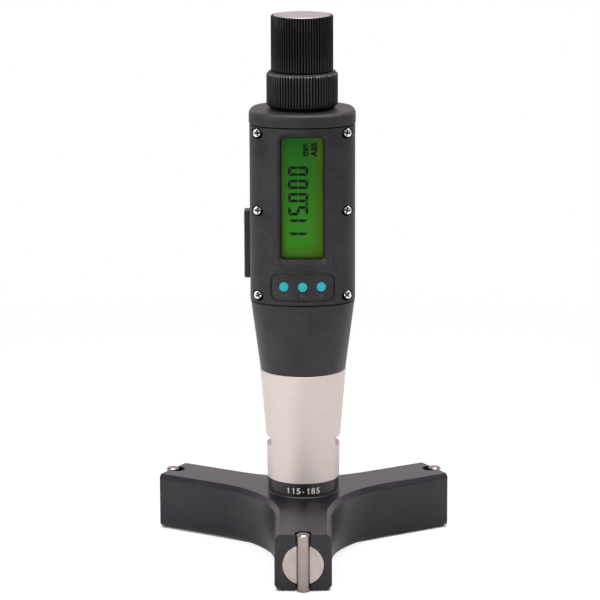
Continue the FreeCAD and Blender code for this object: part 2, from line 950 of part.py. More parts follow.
def lower_bush():
    return tube(lower_bush_radius, shaft_radius + running, lower_bush_low, lower_bush_top)


def upper_bush():
    return tube(upper_bush_radius, shaft_radius + running, upper_bush_low, housing_top)


def drive_shaft():
    low = bolt_height + gear_pitch_radius * gear_face_share
    shaft = cylinder(shaft_end_radius, low, pinion_top)
    shaft = shaft.fuse(cylinder(shaft_radius, pinion_top, shaft_top))
    thread_end = shaft_top - stem_screw_engagement - drop_in
    return shaft.cut(cylinder(stem_screw_radius + fixed, thread_end, shaft_top))


def encoder_stator():
    return tube(encoder_radius, tube_bore_radius, tube_top, tube_top + encoder_thickness)


def encoder_rotor():
    low = tube_top + encoder_thickness + encoder_gap
    bore = shaft_radius + fixed
    disc = tube(encoder_radius, bore, low, low + encoder_thickness)
    return disc.fuse(tube(encoder_hub_radius, bore, low, low + encoder_hub_height))


def knurled(radius, ridges, low, high, low_chamfer, high_chamfer):
    """Straight-knurled barrel with chamfered ends."""
    points = []
    for index in range(2 * ridges):
        angle = math.pi * index / ridges
        reach = radius if index % 2 == 0 else radius - ridge_depth
        points.append(FreeCAD.Vector(reach * math.cos(angle), reach * math.sin(angle), low))
    barrel = Part.Face(Part.makePolygon(points + points[:1])).extrude(FreeCAD.Vector(0, 0, high - low))
    envelope = turned([
        (0, low),
        (radius - low_chamfer, low),
        (radius, low + low_chamfer),
        (radius, high - high_chamfer),
        (radius - high_chamfer, high),
        (0, high),
    ])
    return barrel.common(envelope)


def drive_thimble():
    barrel = knurled(
        thimble_radius,
        thimble_ridge_count,
        thimble_low,
        thimble_top,
        thimble_low_chamfer,
        thimble_high_chamfer,
    )
    skirt_inner = thimble_radius - thimble_skirt
    barrel = barrel.cut(tube(skirt_inner, thimble_hub_radius, thimble_low, shaft_top))
    barrel = barrel.cut(cylinder(shaft_radius + fixed, thimble_low, shaft_top))
    barrel = barrel.fuse(cylinder(stem_radius, thimble_top - fuse_overlap, stem_top))
    return barrel.cut(cylinder(stem_screw_radius + running, shaft_top, stem_top))


def clutch_plate():
    low = knob_low + knob_floor + running
    high = low + clutch_plate_thickness
    return tube(knob_chamber_radius - clutch_plate_gap, stem_radius + running, low, high)


def clutch_springs():
    """Stack of conical spring washers, turned over in turn, between the plate and the screw."""
    low = knob_low + knob_floor + running + clutch_plate_thickness
    step = (stem_top - low) / spring_count
    inner = stem_radius + spring_gap
    outer = stem_screw_head_radius + spring_gap
    washers = []
    for index in range(spring_count):
        bottom = low + index * step
        outer_low, inner_low = (0, step - spring_thickness)[:: 1 if index % 2 == 0 else -1]
        washers.append(turned([
            (inner, bottom + inner_low),
            (outer, bottom + outer_low),
            (outer, bottom + outer_low + spring_thickness),
            (inner, bottom + inner_low + spring_thickness),
        ]))
    return Part.makeCompound(washers)


def stem_screw():
    low = shaft_top - stem_screw_engagement
    head_top = stem_top + stem_screw_head_height
    screw = cylinder(stem_screw_radius, low, stem_top)
    head = cylinder(stem_screw_head_radius, stem_top, head_top)
    half = stem_screw_slot_width / 2
    reach = stem_screw_head_radius
    slot = block(-half, half, -reach, reach, head_top - stem_screw_slot_depth, head_top)
    return screw.fuse(head.cut(slot))


def ratchet_knob():
    barrel = knurled(knob_radius, knob_ridge_count, knob_low, knob_top, knob_chamfer, knob_chamfer)
    cap_low = knob_top + cap_proud - cap_thickness
    barrel = barrel.cut(cylinder(stem_radius + 2 * running, knob_low, knob_top))
    barrel = barrel.cut(cylinder(knob_chamber_radius, knob_low + knob_floor, cap_low))
    return barrel.cut(cylinder(cap_radius + fixed, cap_low, knob_top))


def knob_cap():
    cap_low = knob_top + cap_proud - cap_thickness
    disc = cylinder(cap_radius, cap_low, cap_low + cap_thickness)
    rim = [edge for edge in disc.Edges if abs(edge.CenterOfMass.z - cap_low - cap_thickness) < near]
    return disc.makeFillet(cap_round, rim[:1])


def save_arm_pieces():
    """Bolt, pin, lead screw and gear of each arm, numbered from the front arm."""
    pieces = {
        "measuring_bolt": bolt_solid(),
        "contact_pin": pin_solid(0),
        "lead_screw": lead_screw_solid(),
        "bevel_gear": bevel_gear_solid(),
    }
    for number, angle in enumerate(arm_angles, start=1):
        for name, shape in pieces.items():
            save(name + "_" + str(number), on_arm(shape, angle))


def save_single_pieces():
    makers = (
        arm_body,
        base_cover,
        base_cover_screws,
        guide_keys,
        bevel_pinion,
        gear_carrier,
        range_collar,
        head_sleeve,
        rear_housing,
        front_cover,
        cover_screws,
        display_window,
        lcd_panel,
        backlight_panel,
        circuit_board,
        keypad_mat,
        battery_tray,
        coin_cell,
        battery_contacts,
        shaft_tube,
        lower_bush,
        upper_bush,
        drive_shaft,
        encoder_stator,
        encoder_rotor,
        drive_thimble,
        clutch_plate,
        clutch_springs,
        stem_screw,
        ratchet_knob,
        knob_cap,
    )
    for maker in makers:
        save(maker.__name__, maker())
    for name, (x, floor) in zip(("left", "middle", "right"), button_places()):
        save(name + "_button", push_button(x, floor))


os.makedirs("parts", exist_ok=True)
save_single_pieces()
save_arm_pieces()
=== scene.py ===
import json
import math

import bmesh
import bpy
from mathutils import Matrix, Vector


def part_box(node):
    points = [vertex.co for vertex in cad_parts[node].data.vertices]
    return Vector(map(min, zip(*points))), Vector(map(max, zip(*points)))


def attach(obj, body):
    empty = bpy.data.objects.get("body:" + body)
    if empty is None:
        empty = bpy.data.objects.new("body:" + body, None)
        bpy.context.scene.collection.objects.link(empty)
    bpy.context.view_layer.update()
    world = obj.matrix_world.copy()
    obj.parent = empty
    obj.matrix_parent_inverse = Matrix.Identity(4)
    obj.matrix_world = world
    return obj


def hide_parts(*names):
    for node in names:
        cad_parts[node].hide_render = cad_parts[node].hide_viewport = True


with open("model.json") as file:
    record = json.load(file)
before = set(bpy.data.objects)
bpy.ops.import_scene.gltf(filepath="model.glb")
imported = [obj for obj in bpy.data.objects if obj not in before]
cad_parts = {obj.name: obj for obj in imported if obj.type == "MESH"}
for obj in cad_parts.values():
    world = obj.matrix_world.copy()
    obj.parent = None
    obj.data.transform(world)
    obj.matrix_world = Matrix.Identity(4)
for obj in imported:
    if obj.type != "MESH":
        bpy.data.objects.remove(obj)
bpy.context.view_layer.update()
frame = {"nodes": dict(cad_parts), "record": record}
mm = 0.001
cadNodes = frame["nodes"]
slotOfNode = {part["node"]: part["material_slot"] for part in frame["record"]["subparts"]}
bodyOfNode = {}
for bodyName, members in frame["record"]["behaviour"]["bodies"].items():
    for member in members:
        bodyOfNode[member] = bodyName
print("frame: loaded", len(cadNodes), "nodes")


def plug(tree, target, value):
    if isinstance(value, Signal):
        tree.links.new(value.socket, target)
    else:
        target.default_value = value


class Signal:
    # wraps one output socket, so that a sum written in Python adds its Math nodes
    def __init__(self, tree, socket):
        self.tree = tree
        self.socket = socket

    def maths(self, operation, first, second):
        node = self.tree.nodes.new("ShaderNodeMath")
        node.operation = operation
        plug(self.tree, node.inputs[0], first)
        plug(self.tree, node.inputs[1], second)
        return Signal(self.tree, node.outputs[0])

    def __add__(self, other):
        return self.maths("ADD", self, other)

    def __radd__(self, other):
        return self.maths("ADD", other, self)

    def __sub__(self, other):
        return self.maths("SUBTRACT", self, other)

    def __rsub__(self, other):
        return self.maths("SUBTRACT", other, self)

    def __mul__(self, other):
        return self.maths("MULTIPLY", self, other)

    def __rmul__(self, other):
        return self.maths("MULTIPLY", other, self)

    def __truediv__(self, other):
        return self.maths("DIVIDE", self, other)

    def __pow__(self, other):
        return self.maths("POWER", self, other)

    def __abs__(self):
        return self.maths("ABSOLUTE", self, 0.0)


def distance(first, second):
    return (first * first + second * second) ** 0.5


class Board:
    # one node tree, and the one way to put a node on it
    def __init__(self, tree):
        self.tree = tree

    def add(self, kind, settings, values, output=0):
        node = self.tree.nodes.new(kind)
        for name, setting in settings.items():
            setattr(node, name, setting)
        for name, value in values.items():
            plug(self.tree, node.inputs[name], value)
        return Signal(self.tree, node.outputs[output])

    def spot(self, turn=(0, 0, 0), shift=(0, 0, 0), stretch=(1, 1, 1)):
        # place on the piece, turned, moved and stretched by a Mapping node
        place = self.add("ShaderNodeTexCoord", {}, {}, "Object")
        values = {"Vector": place, "Location": shift, "Rotation": turn, "Scale": stretch}
        return self.add("ShaderNodeMapping", {"vector_type": "POINT"}, values)

    def split(self, vector):
        return [self.add("ShaderNodeSeparateXYZ", {}, {"Vector": vector}, axis) for axis in "XYZ"]

    def noise(self, place, size, detail=3.0, rough=0.55):
        values = {"Vector": place, "Scale": 1 / size, "Detail": detail, "Roughness": rough}
        return self.add("ShaderNodeTexNoise", {}, values)

    def fade(self, value, start, end):
        # goes softly from 0 at the start to 1 at the end
        values = {0: value, 1: start, 2: end, 3: 0.0, 4: 1.0}
        return self.add("ShaderNodeMapRange", {"interpolation_type": "SMOOTHSTEP"}, values)

    def mix(self, share, first, second):
        colours = [c if isinstance(c, Signal) else (*c, 1) for c in (first, second)]
        values = {0: share, 6: colours[0], 7: colours[1]}
        return self.add("ShaderNodeMix", {"data_type": "RGBA"}, values, 2)

    def larger(self, first, second):
        return self.add("ShaderNodeMath", {"operation": "MAXIMUM"}, {0: first, 1: second})

    def smaller(self, first, second):
        return self.add("ShaderNodeMath", {"operation": "MINIMUM"}, {0: first, 1: second})

    def ridgeWave(self, x, y, ridges):
        # 0 along each crest and 1 along each valley of a barrel's ridges
        turns = self.add("ShaderNodeMath", {"operation": "ARCTAN2"}, {0: y, 1: x}) * ridges / (2 * math.pi)
        return self.add("ShaderNodeMath", {"operation": "PINGPONG"}, {0: turns + 1000.0, 1: 0.5}) * 2

    def relief(self, height, depth, strength=1.0):
        return self.add("ShaderNodeBump", {}, {"Height": height, "Distance": depth, "Strength": strength})

    def surface(self, specular=0.5, **values):
        # baseColor stands for the socket Base Color, and so on
        named = {"Specular IOR Level": specular}
        for name, value in values.items():
            words = "".join(" " + letter if letter.isupper() else letter for letter in name)
            if name.endswith("Color") and not isinstance(value, Signal):
                value = (*value, 1)
            named[words[0].upper() + words[1:]] = value
        return self.add("ShaderNodeBsdfPrincipled", {}, named)


def material(name, recipe, **choices):
    made = bpy.data.materials.new(name)
    made.use_nodes = True
    made.node_tree.nodes.clear()
    board = Board(made.node_tree)
    out = made.node_tree.nodes.new("ShaderNodeOutputMaterial")
    plug(made.node_tree, out.inputs["Surface"], recipe(board, **choices))
    return made


# finishes: each function draws one kind of surface on a board

keySides = ("left", "middle", "right")
armAngles = {1: -90.0, 2: 30.0, 3: 150.0}
boltAxisHeight = 8.8 * mm
coverScrewX = 15.45 * mm
coverScrewLevels = (92.9 * mm, 122.8 * mm, 149.9 * mm)
# black of the painted shade in gaps and recesses
shadeBlack = (0.002, 0.002, 0.002, 1)
bareMetal = (0.40, 0.39, 0.39)


def middleOf(node):
    low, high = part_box(node)
    return (low + high) / 2


def moulded(board, colour, sheen, grain, depth, rough, specular):
    # fine spark-eroded texture with a faint cloudiness and rubbed patches
    spot = board.spot()
    pits = board.add("ShaderNodeTexVoronoi", {"feature": "SMOOTH_F1"}, {"Vector": spot, "Scale": 1 / grain})
    speck = board.noise(spot, grain * 0.8, 2.0)
    grit = board.noise(spot, grain * 2.6, 3.0, 0.75)
    cloud = board.noise(spot, 14 * mm, 4.0)
    tone = board.mix(board.fade(cloud * 0.4 + grit * 0.6, 0.38, 0.62), colour, sheen)
    normal = board.relief(pits * 0.6 + speck * 0.5, depth)
    gloss = rough + (cloud - 0.5) * 0.16
    return board.surface(specular, baseColor=tone, roughness=gloss, normal=normal)


def shaded(board, skin, share):
    # painted shade: a finish that goes to a dull black where a gap or recess holds no light
    paintedShade = board.add("ShaderNodeBsdfDiffuse", {}, {"Color": shadeBlack})
    return board.add("ShaderNodeMixShader", {}, {0: share, 1: skin, 2: paintedShade})


def screwReach(board, x, z):
    # distance from the nearest cover screw's axis
    across = abs(x) - coverScrewX
    reach = 1.0
    for level in coverScrewLevels:
        reach = board.smaller(distance(across, z - level), reach)
    return reach


def frameReach(board, x, z, middle, half, corner):
    # how far a place lies outside a round-cornered frame, or within a corner's width inside it
    outX = board.larger(abs(x) - (half[0] - corner), 0.0)
    outZ = board.larger(abs(z - middle) - (half[1] - corner), 0.0)
    return distance(outX, outZ) - corner


def coverSkin(board, low, high, gaps, **choices):
    # moulded cover with painted shade: black in the screws' seats, round the keys and the window, along the key panel's
    # edge and along its seams
    x, y, z = board.split(board.spot())
    seat, seam, line, key = gaps["seat"], gaps["seam"], gaps["line"], gaps["key"]
    # painted shade in the screws' seats, along the seams, round the window, at the panel's edge and round the keys
    share = board.fade(screwReach(board, x, z), seat, seat - 0.25 * mm)
    share = share + board.fade(z, high - seam, high - seam * 0.6) + board.fade(z, low + seam, low + seam * 0.6)
    share = share + board.fade(frameReach(board, x, z, **gaps["window"]), line, line * 0.4)
    trim = abs(frameReach(board, x, z, **gaps["panel"]))
    share = share + board.fade(trim, line * 0.6, line * 0.2) * 0.45
    for side in keySides:
        middle = middleOf(side + "_button")
        reach = distance(x - middle.x, z - middle.z)
        share = share + board.fade(reach, key + 0.14 * mm, key + 0.02 * mm) * 0.7
    return shaded(board, moulded(board, **choices), board.smaller(share, 0.95))


def screwSkin(board, recess, face, **choices):
    # bright head with painted shade in its cross recess
    x, y, z = board.split(board.spot())
    inside = board.fade(screwReach(board, x, z), recess, recess - 0.1 * mm)
    sunk = board.fade(y, face + 0.02 * mm, face + 0.2 * mm)
    # painted shade inside the cross recess
    return shaded(board, milledMetal(board, **choices), inside * sunk * 0.92)


def anodised(board, colour, worn, grain, rough, metal, specular):
    # blasted and anodised metal, a little lighter where it has been handled
    spot = board.spot()
    speck = board.noise(spot, grain, 3.0, 0.6)
    cloud = board.noise(spot, 9 * mm, 5.0)
    rub = board.fade(cloud, 0.42, 0.7)
    scratch = board.noise(board.spot(turn=(0.3, 0.2, 0.5), stretch=(1, 12, 1)), 1.1 * mm, 2.0)
    fine = board.fade(scratch, 0.64, 0.78)
    tone = board.mix(rub * 0.45 + fine * 0.2, colour, worn)
    normal = board.relief(speck, 0.012 * mm, 0.6)
    gloss = rough + (speck - 0.5) * 0.16 - fine * 0.05
    return board.surface(specular, baseColor=tone, roughness=gloss, metallic=metal, normal=normal)


def turnedMetal(
        board, colour, deep, pitch, rough, turn=(0, 0, 0), shift=(0, 0, 0), face=0.0, cut=0.004 * mm, metal=1.0):
    # lathe marks round the local Z axis: rings on an end face, grooves along the side
    spot = board.spot(turn, shift)
    x, y, z = board.split(spot)
    run = distance(x, y) * face + z * (1 - face)
    line = {"noise_dimensions": "1D"}
    rings = board.add("ShaderNodeTexNoise", line, {"W": run, "Scale": 1 / pitch, "Detail": 3.0})
    bands = board.add("ShaderNodeTexNoise", line, {"W": run, "Scale": 0.09 / pitch, "Detail": 2.0})
    stain = board.noise(spot, 9 * mm, 5.0)
    tone = board.mix(board.fade(stain * 0.6 + bands * 0.4, 0.38, 0.66), colour, deep)
    gloss = rough + (rings - 0.5) * 0.12 + (stain - 0.5) * 0.08
    normal = board.relief(rings, cut, 0.5)
    return board.surface(baseColor=tone, roughness=gloss, metallic=metal, normal=normal)


def milledMetal(board, colour, deep, grain, rough):
    # fine cutter marks that run one way, and a faint stain
    spot = board.spot(stretch=(1, 6, 1))
    grit = board.noise(spot, grain, 3.0)
    cloud = board.noise(board.spot(), 5 * mm, 4.0)
    tone = board.mix(board.fade(cloud, 0.35, 0.65), colour, deep)
    normal = board.relief(grit, 0.01 * mm, 0.5)
    return board.surface(baseColor=tone, roughness=rough + (grit - 0.5) * 0.2, metallic=1.0, normal=normal)


def knurlSkin(board, sizes, colour, crest, rough, specular, rimLow, rimHigh):
    # painted shade in the valleys, rubbed along the crests, and bare metal where the rim's chamfer was cut
    radius, depth = sizes["radius"], sizes["depth"]
    spot = board.spot()
    x, y, z = board.split(spot)
    reach = distance(x, y)
    wear = board.noise(spot, 1.6 * mm, 4.0)
    speck = board.noise(spot, 0.12 * mm, 2.0)
    top = board.fade(reach, radius - 0.5 * depth, radius)
    tip = board.fade(board.ridgeWave(x, y, sizes["ridges"]), 0.45, 0.2)
    rim = board.fade(z, rimLow, rimHigh)
    chamfer = rim * board.fade(z, rimHigh + depth * 1.1, rimHigh + depth * 0.5)
    bare = chamfer * board.fade(wear, 0.35, 0.55) * tip
    tone = board.mix(top * board.fade(wear, 0.2, 0.75), colour, crest)
    tone = board.mix(bare, tone, bareMetal)
    normal = board.relief(speck, 0.008 * mm, 0.5)
    gloss = rough - top * 0.2 + (speck - 0.5) * 0.15 + rim * 0.2
    skin = board.surface(specular, baseColor=tone, roughness=gloss, metallic=bare, normal=normal)
    # painted shade down the ridges' flanks and in the valleys, below the rim
    deep = board.fade(reach, radius - 0.2 * depth, radius - 0.6 * depth) * (1 - tip) * 0.9
    return shaded(board, skin, deep * board.fade(z, rimHigh, rimLow))


def keySkin(board, colour, rim, centre, radius):
    # moulded key with a painted highlight: a paler ring along its rounded rim
    spot = board.spot(shift=(-centre[0], 0, -centre[1]))
    x, y, z = board.split(spot)
    edge = board.fade(distance(x, z), radius * 0.68, radius * 0.86)
    cloud = board.noise(spot, 1.2 * mm, 3.0)
    # painted highlight towards the rounded rim
    tone = board.mix(edge * 0.8 + (cloud - 0.5) * 0.3, colour, rim)
    normal = board.relief(board.noise(spot, 0.15 * mm), 0.006 * mm, 0.5)
    return board.surface(0.3, baseColor=tone, roughness=0.36 + cloud * 0.12, normal=normal)


def litDisplay(board, low, high, edge, dark, centre, half):
    # green backlit cell: deeper at its top, olive towards the right and at its borders, with painted shade from the
    # window's frame along its sides and foot
    spot = board.spot(shift=(-centre[0], 0, -centre[1]))
    x, y, z = board.split(spot)
    right = board.fade(x, half[0] * 0.25, half[0] * 0.95)
    left = board.fade(x, -half[0] * 0.7, -half[0])
    bottom = board.fade(z, -half[1] * 0.72, -half[1] * 0.97)
    frameShade = board.fade(abs(x), half[0] * 0.94, half[0])
    foot = board.fade(z, -half[1] * 0.95, -half[1])
    cloud = board.noise(spot, 5 * mm, 3.0)
    tone = board.mix(board.fade(z, -half[1], half[1]) + (cloud - 0.5) * 0.3, low, high)
    share = board.smaller(right + left * 0.8 + bottom * 0.7, 1.0)
    tone = board.mix(share * 0.85, tone, edge)
    # painted shade of the window's frame along the cell's sides and foot
    tone = board.mix(frameShade * 0.75 + foot * 0.4, tone, dark)
    return board.surface(0.15, baseColor=tone, roughness=0.4 + cloud * 0.1, emissionColor=tone, emissionStrength=0.15)


def clearPane(board, tint):
    # thin clear pane, dark in itself, that shows the sky only in its gloss
    facing = board.add("ShaderNodeLayerWeight", {}, {"Blend": 0.2}, "Facing")
    smear = board.noise(board.spot(), 4 * mm, 4.0)
    cover = 0.07 + facing * 0.3 + board.fade(smear, 0.5, 0.8) * 0.03
    return board.surface(0.5, baseColor=tint, roughness=0.05 + smear * 0.05, alpha=cover)


def printedInk(board, colour, rough):
    # printed figures, a little uneven in their cover
    patch = board.noise(board.spot(), 0.5 * mm, 4.0)
    pale = tuple(min(1.0, channel * 1.25 + 0.004) for channel in colour)
    tone = board.mix(board.fade(patch, 0.4, 0.7), colour, pale)
    return board.surface(0.1, baseColor=tone, roughness=rough + patch * 0.1)


def laminate(board, colour, trace):
    # circuit board with the glass cloth's weave showing through
    weave = board.add("ShaderNodeTexWave", {}, {"Vector": board.spot(), "Scale": 400.0, "Distortion": 2.0}, 1)
    tone = board.mix(weave * 0.5, colour, trace)
    return board.surface(baseColor=tone, roughness=0.3 + weave * 0.15)


def rubberSkin(board, colour):
    # dull moulded rubber with a soft bloom
    cloud = board.noise(board.spot(), 2 * mm, 4.0)
    tone = board.mix(cloud, colour, tuple(c * 1.8 for c in colour))
    return board.surface(baseColor=tone, roughness=0.75 + cloud * 0.1, normal=board.relief(cloud, 0.03 * mm))


housingLook = {
    "colour": (0.009, 0.008, 0.010), "sheen": (0.030, 0.027, 0.030), "grain": 0.2 * mm, "depth": 0.022 * mm,
    "rough": 0.47, "specular": 0.29}
rearColour = (0.0135, 0.012, 0.015)
# painted shade: where the front cover holds no light, its colour goes to black
coverShadeGaps = {  # where the front cover holds no light
    "seat": 2.0 * mm, "seam": 0.35 * mm, "line": 0.36 * mm, "key": 1.65 * mm,
    "window": {"middle": 127.65 * mm, "half": (7.3 * mm, 21.15 * mm), "corner": 1.2 * mm},
    "panel": {"middle": 96.6 * mm, "half": (11.15 * mm, 4.8 * mm), "corner": 2.6 * mm},
}
barrelSizes = {
    "drive_thimble": {
        "radius": 12.4 * mm, "ridges": 72, "depth": 0.42 * mm, "lowChamfer": 1.2 * mm, "highChamfer": 0.9 * mm,
        "stem": 8.5 * mm, "crestFlat": 1.15, "stepsPerRidge": 8, "chamferRings": 8, "bodyRings": 3},
    "ratchet_knob": {
        "radius": 10.8 * mm, "ridges": 68, "depth": 0.45 * mm, "lowChamfer": 0.3 * mm, "highChamfer": 0.3 * mm,
        "stem": 0.0, "crestFlat": 1.15, "stepsPerRidge": 8, "chamferRings": 5, "bodyRings": 3},
}
coverLow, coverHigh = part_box("front_cover")
finishes = {
    "dark_anodised": material(
        "darkAnodised", anodised, colour=(0.012, 0.010, 0.0140), worn=(0.020, 0.017, 0.0215),
        grain=0.2 * mm, rough=0.28, metal=0.18, specular=0.40),
    "black_anodised": material(
        "blackAnodised", anodised, colour=(0.011, 0.0105, 0.012), worn=(0.017, 0.016, 0.018),
        grain=0.18 * mm, rough=0.34, metal=0.1, specular=0.4),
    "satin_nickel": material(
        "satinNickel", turnedMetal, colour=(0.655, 0.580, 0.560), deep=(0.64, 0.565, 0.545),
        pitch=0.12 * mm, rough=0.60, cut=0.0004 * mm, metal=0.75),
    "contact_steel": material(
        "contactSteel", turnedMetal, colour=(0.31, 0.27, 0.25), deep=(0.275, 0.235, 0.215),
        pitch=0.12 * mm, rough=0.20, cut=0.0004 * mm),
    "machine_steel": material(
        "machineSteel", milledMetal, colour=(0.42, 0.42, 0.43), deep=(0.32, 0.32, 0.33), grain=0.3 * mm, rough=0.35),
    "screw_steel": material(
        "screwSteel", milledMetal, colour=(0.30, 0.30, 0.31), deep=(0.22, 0.22, 0.23), grain=0.25 * mm, rough=0.4),
    "bright_screw": material(
        "brightScrew", screwSkin, recess=1.1 * mm, face=-10.75 * mm, colour=(0.95, 0.94, 0.93), deep=(0.84, 0.83, 0.82),
        grain=0.2 * mm, rough=0.18),
    "bronze": material(
        "bearingBronze", milledMetal, colour=(0.55, 0.36, 0.16), deep=(0.40, 0.25, 0.10), grain=0.3 * mm, rough=0.38),
    "grey_aluminium": material(
        "greyAluminium", milledMetal, colour=(0.52, 0.52, 0.54), deep=(0.44, 0.44, 0.46), grain=0.3 * mm, rough=0.4),
    "housing_plastic": material("housingPlastic", moulded, **{**housingLook, "colour": rearColour}),
    "cover_plastic": material(
        "coverPlastic", coverSkin, low=coverLow.z, high=coverHigh.z, gaps=coverShadeGaps, **housingLook),
    "tray_plastic": material(
        "trayPlastic", moulded, colour=(0.020, 0.018, 0.020), sheen=(0.026, 0.023, 0.026),
        grain=0.14 * mm, depth=0.008 * mm, rough=0.45, specular=0.3),
    "black_knurl": material(
        "blackKnurl", knurlSkin, sizes=barrelSizes["drive_thimble"], colour=(0.006, 0.0055, 0.0055),
        crest=(0.024, 0.022, 0.0215), rough=0.48, specular=0.5, rimLow=168.95 * mm, rimHigh=169.1 * mm),
    "black_knob": material(  # its rim lies above the knob, so none of it is bare
        "blackKnob", knurlSkin, sizes=barrelSizes["ratchet_knob"], colour=(0.0010, 0.0012, 0.0030),
        crest=(0.0045, 0.005, 0.0095), rough=0.42, specular=0.42, rimLow=200 * mm, rimHigh=201 * mm),
    "cap_plate": material(
        "capPlate", turnedMetal, colour=(0.42, 0.395, 0.405), deep=(0.35, 0.33, 0.34),
        pitch=0.07 * mm, rough=0.42, face=1.0),
    "clear_window": material("clearWindow", clearPane, tint=(0.010, 0.014, 0.010)),
    "green_display": material(
        "greenDisplay", litDisplay, low=(0.028, 0.228, 0.004), high=(0.011, 0.132, 0.006),
        edge=(0.055, 0.118, 0.0), dark=(0.012, 0.016, 0.001), centre=(0.0, 127.6 * mm), half=(7.3 * mm, 21.0 * mm)),
    "diffuser_plastic": material(
        "diffuserPlastic", moulded, colour=(0.5, 0.7, 0.3), sheen=(0.58, 0.78, 0.34),
        grain=0.3 * mm, depth=0.01 * mm, rough=0.5, specular=0.5),
    "board_laminate": material("boardLaminate", laminate, colour=(0.012, 0.09, 0.03), trace=(0.03, 0.15, 0.05)),
    "black_rubber": material("blackRubber", rubberSkin, colour=(0.014, 0.014, 0.015)),
    "cell_steel": material(
        "cellSteel", turnedMetal, colour=(0.62, 0.62, 0.60), deep=(0.52, 0.52, 0.50),
        pitch=0.1 * mm, rough=0.25, face=0.5),
}
for number, angle in armAngles.items():
    # each bolt's marks run round its own axis, which a Mapping node lays along Z
    finishes["ground_steel_%d" % number] = material(
        "groundSteel%d" % number, turnedMetal, colour=(0.505, 0.430, 0.400), deep=(0.42, 0.355, 0.33),
        pitch=0.1 * mm, rough=0.40, cut=0.002 * mm, turn=(0, -math.pi / 2, -math.radians(angle)),
        shift=(-boltAxisHeight, 0, 0), face=0.6)
for side in keySides:
    low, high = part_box(side + "_button")
    middle = middleOf(side + "_button")
    # the keys' paler rim colour is a painted highlight
    finishes[side + "_key"] = material(
        side + "KeySkin", keySkin, colour=(0.015, 0.325, 0.39), rim=(0.20, 0.60, 0.66),
        centre=(middle.x, middle.z), radius=(high.x - low.x) / 2)


def finishOf(node):
    if node.startswith("measuring_bolt"):
        return finishes["ground_steel_" + node[-1]]
    if node.endswith("_button"):
        return finishes[node.replace("_button", "_key")]
    if node == "front_cover":
        return finishes["cover_plastic"]
    return finishes[slotOfNode[node]]


for name, node in cadNodes.items():
    for materialSlot in node.material_slots:
        materialSlot.material = finishOf(name)
print("finishes:", len(finishes), "materials on", len(cadNodes), "nodes")


# pieces: copies of the nodes with their edges broken, and what the solids leave plain

def smooth(mesh, angle=35):
    # soft shading up to the angle, a crisp edge past it
    mesh.shade_smooth()
    mesh.set_sharp_from_angle(angle=math.radians(angle))


def settle(piece):
    # turns what the modifiers show into the piece's own plain mesh
    graph = bpy.context.evaluated_depsgraph_get()
    mesh = bpy.data.meshes.new_from_object(piece.evaluated_get(graph))
    piece.modifiers.clear()
    mesh.name = piece.name
    piece.data = mesh


def newPiece(name, points, faces, look=None):
    mesh = bpy.data.meshes.new(name)
    mesh.from_pydata(points, [], faces)
    mesh.update()
    piece = bpy.data.objects.new(name, mesh)
    bpy.context.scene.collection.objects.link(piece)
    if look:
        mesh.materials.append(look)
    return piece


def hand(piece, body, slot, *nodes):
    # rides on its body and stands for its nodes, which it hides; the slot is not used
    if nodes:
        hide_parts(*nodes)
    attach(piece, body)


breakSizes = {"segments": 2, "sharpest": 38, "merge": 0.002 * mm, "flat": math.radians(0.4)}


def mergedMesh(node):
    # the node's loose triangles joined, with its flat faces whole
    work = bmesh.new()
    work.from_mesh(cadNodes[node].data)
    bmesh.ops.remove_doubles(work, verts=work.verts, dist=breakSizes["merge"])
    bmesh.ops.dissolve_limit(
        work, angle_limit=breakSizes["flat"], verts=work.verts, edges=work.edges, use_dissolve_boundaries=False)
    points = [vertex.co.copy() for vertex in work.verts]
    faces = [[vertex.index for vertex in face.verts] for face in work.faces]
    work.free()
    return points, faces


def dressed(node, width):
    # a copy of the node with its sharp edges broken, as a deburred or moulded part has them
    piece = newPiece(node + "_dressed", *mergedMesh(node), finishOf(node))
    smooth(piece.data, breakSizes["sharpest"])
    bevel = piece.modifiers.new("edges", "BEVEL")
    bevel.width = width
    bevel.segments = breakSizes["segments"]
    bevel.limit_method = "ANGLE"
    bevel.angle_limit = math.radians(breakSizes["sharpest"])
    bevel.use_clamp_overlap = False
    bevel.miter_outer = "MITER_ARC"
    bevel.harden_normals = True
    settle(piece)
    hand(piece, bodyOfNode[node], slotOfNode[node], node)
    return piece


edgeBreaks = {  # widths in millimetres
    "arm_body": 0.16, "base_cover": 0.12, "range_collar": 0.10, "head_sleeve": 0.08, "rear_housing": 0.10,
    "front_cover": 0.09, "battery_tray": 0.10,
    "measuring_bolt_1": 0.08, "measuring_bolt_2": 0.08, "measuring_bolt_3": 0.08,
    "contact_pin_1": 0.08, "contact_pin_2": 0.08, "contact_pin_3": 0.08,
    "knob_cap": 0.06, "display_window": 0.10, "left_button": 0.25, "middle_button": 0.25, "right_button": 0.25,
}
windowBack = {"within": 0.3 * mm, "forward": 0.14 * mm}
shown = {node: dressed(node, width * mm) for node, width in edgeBreaks.items()}
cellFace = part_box("lcd_panel")[0].y
for vertex in shown["display_window"].data.vertices:
    # the window's back stands clear of the cell, where the figures are
    if vertex.co.y > cellFace - windowBack["within"]:
        vertex.co.y -= windowBack["forward"]
bpy.context.view_layer.update()
print("edges broken on", len(edgeBreaks), "pieces")


# knurled barrels: a turned blank whose ridges a node tree cuts; the hollows are in millimetres

thimbleHollow = {"plate": 2.4, "stemRadius": 4.0, "screwBore": 1.3, "shaftBore": 2.5, "hub": 6.0, "skirt": 10.4}
knobHollow = {"seatRadius": 10.02, "seatDepth": 1.35, "chamber": 8.3, "floor": 3.0, "bore": 4.1}


